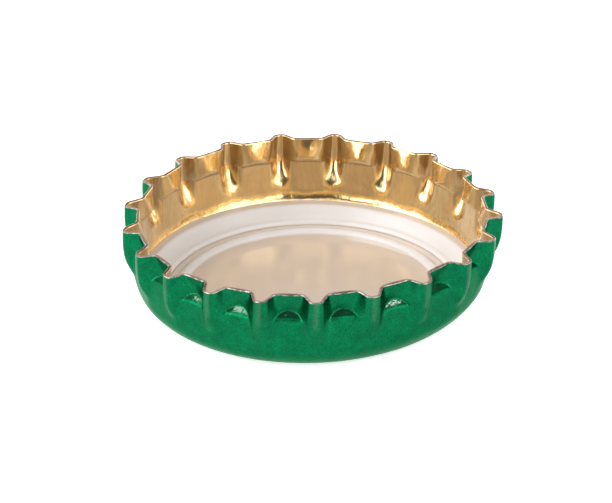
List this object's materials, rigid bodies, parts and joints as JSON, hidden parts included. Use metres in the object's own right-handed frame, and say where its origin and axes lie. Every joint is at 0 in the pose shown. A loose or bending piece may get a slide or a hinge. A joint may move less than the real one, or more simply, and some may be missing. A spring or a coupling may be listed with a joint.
{
  "type": "bottle cap",
  "caption": "Crimped crown cap for a glass bottle: a round pressed-steel cap with a fluted skirt and a moulded sealing liner, lying rim up.",
  "frame": {"origin": "middle of the panel's outer face, on which the cap lies", "axes": "+Z along the cap's axis, from the panel to the rim; a flute points along -Y"},
  "size_m": [0.0286, 0.0285, 0.0067],
  "materials": {
    "shell": "gloss green paint outside, clear gold lacquer inside, bare steel at the cut edge",
    "liner": "soft, slightly translucent moulded plastic with a satin surface"
  },
  "bodies": {
    "root": {"shell": "shell", "liner": "liner"}
  },
  "joints": []
}
